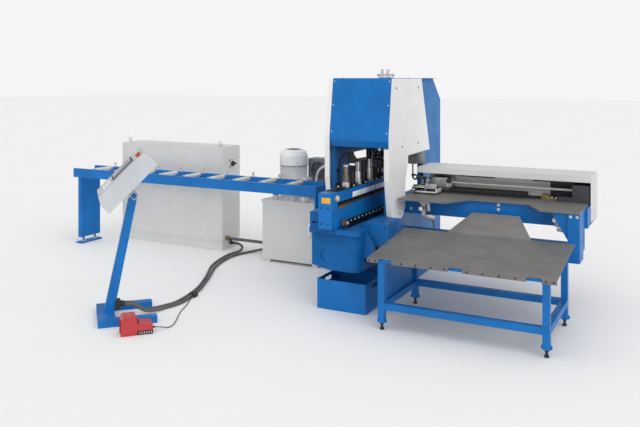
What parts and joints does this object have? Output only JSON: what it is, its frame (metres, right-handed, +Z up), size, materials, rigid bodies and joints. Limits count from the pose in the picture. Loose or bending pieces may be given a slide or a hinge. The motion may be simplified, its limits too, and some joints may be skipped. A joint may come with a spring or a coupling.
{
  "type": "flat bar punching machine",
  "caption": "Hydraulic flat bar punching line: press with a sliding tool magazine, roller infeed, clamp feed with table, collecting table, hydraulic unit, cabinet and console",
  "frame": {"origin": "On the floor under the ram axis, at the centre of the press anchor holes", "axes": "+X along the bar feed from conveyor to feed unit, +Y to the back of the press, +Z up"},
  "size_m": [5.693, 3.2561, 2.011],
  "materials": {
    "blue_paint": "satin machine blue",
    "white_paint": "fine textured white",
    "grey_paint": "light grey textured",
    "bright_steel": "ground steel",
    "zinc_steel": "bright zinc plated",
    "table_steel": "dull rolled steel sheet",
    "aluminium": "natural anodised",
    "dark_paint": "dark grey satin",
    "black_oxide": "oiled black oxide",
    "black_plastic": "matte black",
    "red_plastic": "signal red",
    "white_rubber": "white hose cover",
    "conduit_grey": "corrugated grey"
  },
  "bodies": {
    "line": {"press_frame": "blue_paint", "base_housing": "blue_paint", "front_panel": "blue_paint", "cladding_left": "white_paint", "cladding_right": "white_paint", "top_fitting": "zinc_steel", "ram_cylinder": "grey_paint", "bar_sensor": "dark_paint", "magazine_chain": "black_oxide", "feed_frame": "blue_paint", "feed_table": "table_steel", "feed_guide": "aluminium", "feed_cover": "white_paint", "feed_motor": "dark_paint", "chain_tray": "dark_paint", "air_units": "zinc_steel", "outfeed_frame": "blue_paint", "outfeed_sheet": "table_steel", "outfeed_feet": "black_plastic", "conveyor_frame": "blue_paint", "cabinet": "grey_paint", "lifting_eyes": "zinc_steel", "tank": "grey_paint", "pump_motor": "grey_paint", "oil_cooler": "dark_paint", "console_stand": "blue_paint", "foot_switch_body": "red_plastic", "scrap_bin": "blue_paint", "conduit_a": "conduit_grey", "conduit_b": "conduit_grey", "pressure_hose": "white_rubber", "pedal_cable": "conduit_grey", "conduit_glands": "black_plastic"},
    "ram": {"ram": "bright_steel"},
    "magazine": {"magazine": "blue_paint", "tool_rail": "blue_paint", "die_plate": "bright_steel"},
    "sprocket": {"sprocket": "bright_steel"},
    "feed_carriage": {"feed_carriage": "bright_steel"},
    "clamp_jaw": {"clamp_jaw": "black_oxide"},
    "console_box": {"console_box": "white_paint"},
    "estop_button": {"estop_button": "red_plastic"},
    "main_switch": {"main_switch": "black_plastic"},
    "foot_pedal": {"foot_pedal": "black_plastic"},
    "punch_1": {"punch_1": "bright_steel"},
    "punch_2": {"punch_2": "bright_steel"},
    "punch_3": {"punch_3": "bright_steel"},
    "punch_4": {"punch_4": "bright_steel"},
    "punch_5": {"punch_5": "bright_steel"},
    "punch_6": {"punch_6": "bright_steel"},
    "punch_7": {"punch_7": "bright_steel"},
    "roller_1": {"roller_1": "zinc_steel"},
    "roller_2": {"roller_2": "zinc_steel"},
    "roller_3": {"roller_3": "zinc_steel"},
    "roller_4": {"roller_4": "zinc_steel"},
    "roller_5": {"roller_5": "zinc_steel"},
    "roller_6": {"roller_6": "zinc_steel"},
    "roller_7": {"roller_7": "zinc_steel"},
    "roller_8": {"roller_8": "zinc_steel"},
    "roller_9": {"roller_9": "zinc_steel"}
  },
  "joints": [
    {"name": "ram_slide", "type": "slide", "parent": "line", "child": "ram", "axis": [0, 0, 1], "range_m": [-0.04, 0]},
    {"name": "magazine_slide", "type": "slide", "parent": "line", "child": "magazine", "axis": [0, 1, 0], "range_m": [0, 0.75]},
    {"name": "punch_1_slide", "type": "slide", "parent": "magazine", "child": "punch_1", "axis": [0, 0, 1], "range_m": [-0.04, 0], "stiffness_N_per_m": 2000, "springref_m": 0.015},
    {"name": "punch_2_slide", "type": "slide", "parent": "magazine", "child": "punch_2", "axis": [0, 0, 1], "range_m": [-0.04, 0], "stiffness_N_per_m": 2000, "springref_m": 0.015},
    {"name": "punch_3_slide", "type": "slide", "parent": "magazine", "child": "punch_3", "axis": [0, 0, 1], "range_m": [-0.04, 0], "stiffness_N_per_m": 2000, "springref_m": 0.015},
    {"name": "punch_4_slide", "type": "slide", "parent": "magazine", "child": "punch_4", "axis": [0, 0, 1], "range_m": [-0.04, 0], "stiffness_N_per_m": 2000, "springref_m": 0.015},
    {"name": "punch_5_slide", "type": "slide", "parent": "magazine", "child": "punch_5", "axis": [0, 0, 1], "range_m": [-0.04, 0], "stiffness_N_per_m": 2000, "springref_m": 0.015},
    {"name": "punch_6_slide", "type": "slide", "parent": "magazine", "child": "punch_6", "axis": [0, 0, 1], "range_m": [-0.04, 0], "stiffness_N_per_m": 2000, "springref_m": 0.015},
    {"name": "punch_7_slide", "type": "slide", "parent": "magazine", "child": "punch_7", "axis": [0, 0, 1], "range_m": [-0.04, 0]},
    {"name": "sprocket_spin", "type": "hinge", "parent": "line", "child": "sprocket", "pos_m": [0.092, -0.965, 0.728], "axis": [1, 0, 0], "range_deg": [-1200, 5]},
    {"name": "feed_slide", "type": "slide", "parent": "line", "child": "feed_carriage", "axis": [1, 0, 0], "range_m": [0, 1.05]},
    {"name": "clamp_hinge", "type": "hinge", "parent": "feed_carriage", "child": "clamp_jaw", "pos_m": [0.45, 0, 0.941], "axis": [0, 1, 0], "range_deg": [-10, 0]},
    {"name": "roller_1_spin", "type": "hinge", "parent": "line", "child": "roller_1", "pos_m": [-0.93, 0, 0.861], "axis": [0, 1, 0], "continuous": true},
    {"name": "roller_2_spin", "type": "hinge", "parent": "line", "child": "roller_2", "pos_m": [-1.254, 0, 0.861], "axis": [0, 1, 0], "continuous": true},
    {"name": "roller_3_spin", "type": "hinge", "parent": "line", "child": "roller_3", "pos_m": [-1.578, 0, 0.861], "axis": [0, 1, 0], "continuous": true},
    {"name": "roller_4_spin", "type": "hinge", "parent": "line", "child": "roller_4", "pos_m": [-1.902, 0, 0.861], "axis": [0, 1, 0], "continuous": true},
    {"name": "roller_5_spin", "type": "hinge", "parent": "line", "child": "roller_5", "pos_m": [-2.226, 0, 0.861], "axis": [0, 1, 0], "continuous": true},
    {"name": "roller_6_spin", "type": "hinge", "parent": "line", "child": "roller_6", "pos_m": [-2.55, 0, 0.861], "axis": [0, 1, 0], "continuous": true},
    {"name": "roller_7_spin", "type": "hinge", "parent": "line", "child": "roller_7", "pos_m": [-2.874, 0, 0.861], "axis": [0, 1, 0], "continuous": true},
    {"name": "roller_8_spin", "type": "hinge", "parent": "line", "child": "roller_8", "pos_m": [-3.198, 0, 0.861], "axis": [0, 1, 0], "continuous": true},
    {"name": "roller_9_spin", "type": "hinge", "parent": "line", "child": "roller_9", "pos_m": [-3.522, 0, 0.861], "axis": [0, 1, 0], "continuous": true},
    {"name": "console_tilt", "type": "hinge", "parent": "line", "child": "console_box", "pos_m": [-1.37954, -1.86973, 0.978], "axis": [-0.7193, 0.6947, 0], "range_deg": [-12, 15]},
    {"name": "estop_push", "type": "slide", "parent": "console_box", "child": "estop_button", "axis": [-0.4912, -0.5086, 0.7071], "range_m": [-0.005, 0], "stiffness_N_per_m": 400, "springref_m": 0.004},
    {"name": "main_switch_turn", "type": "hinge", "parent": "line", "child": "main_switch", "pos_m": [-2, 0.4705, 0.96], "axis": [1, 0, 0], "range_deg": [0, 90]},
    {"name": "pedal_hinge", "type": "hinge", "parent": "line", "child": "foot_pedal", "pos_m": [-1.0777, -2.17682, 0.04], "axis": [-0.7431, 0.6691, 0], "range_deg": [-9, 0], "stiffness_Nm_per_rad": 3, "springref_deg": 20.05}
  ],
  "couplings": [
    {"joint": "punch_7_slide", "follows": "ram_slide", "ratio": 1},
    {"joint": "sprocket_spin", "follows": "magazine_slide", "rad_per_m": -27.027}
  ]
}
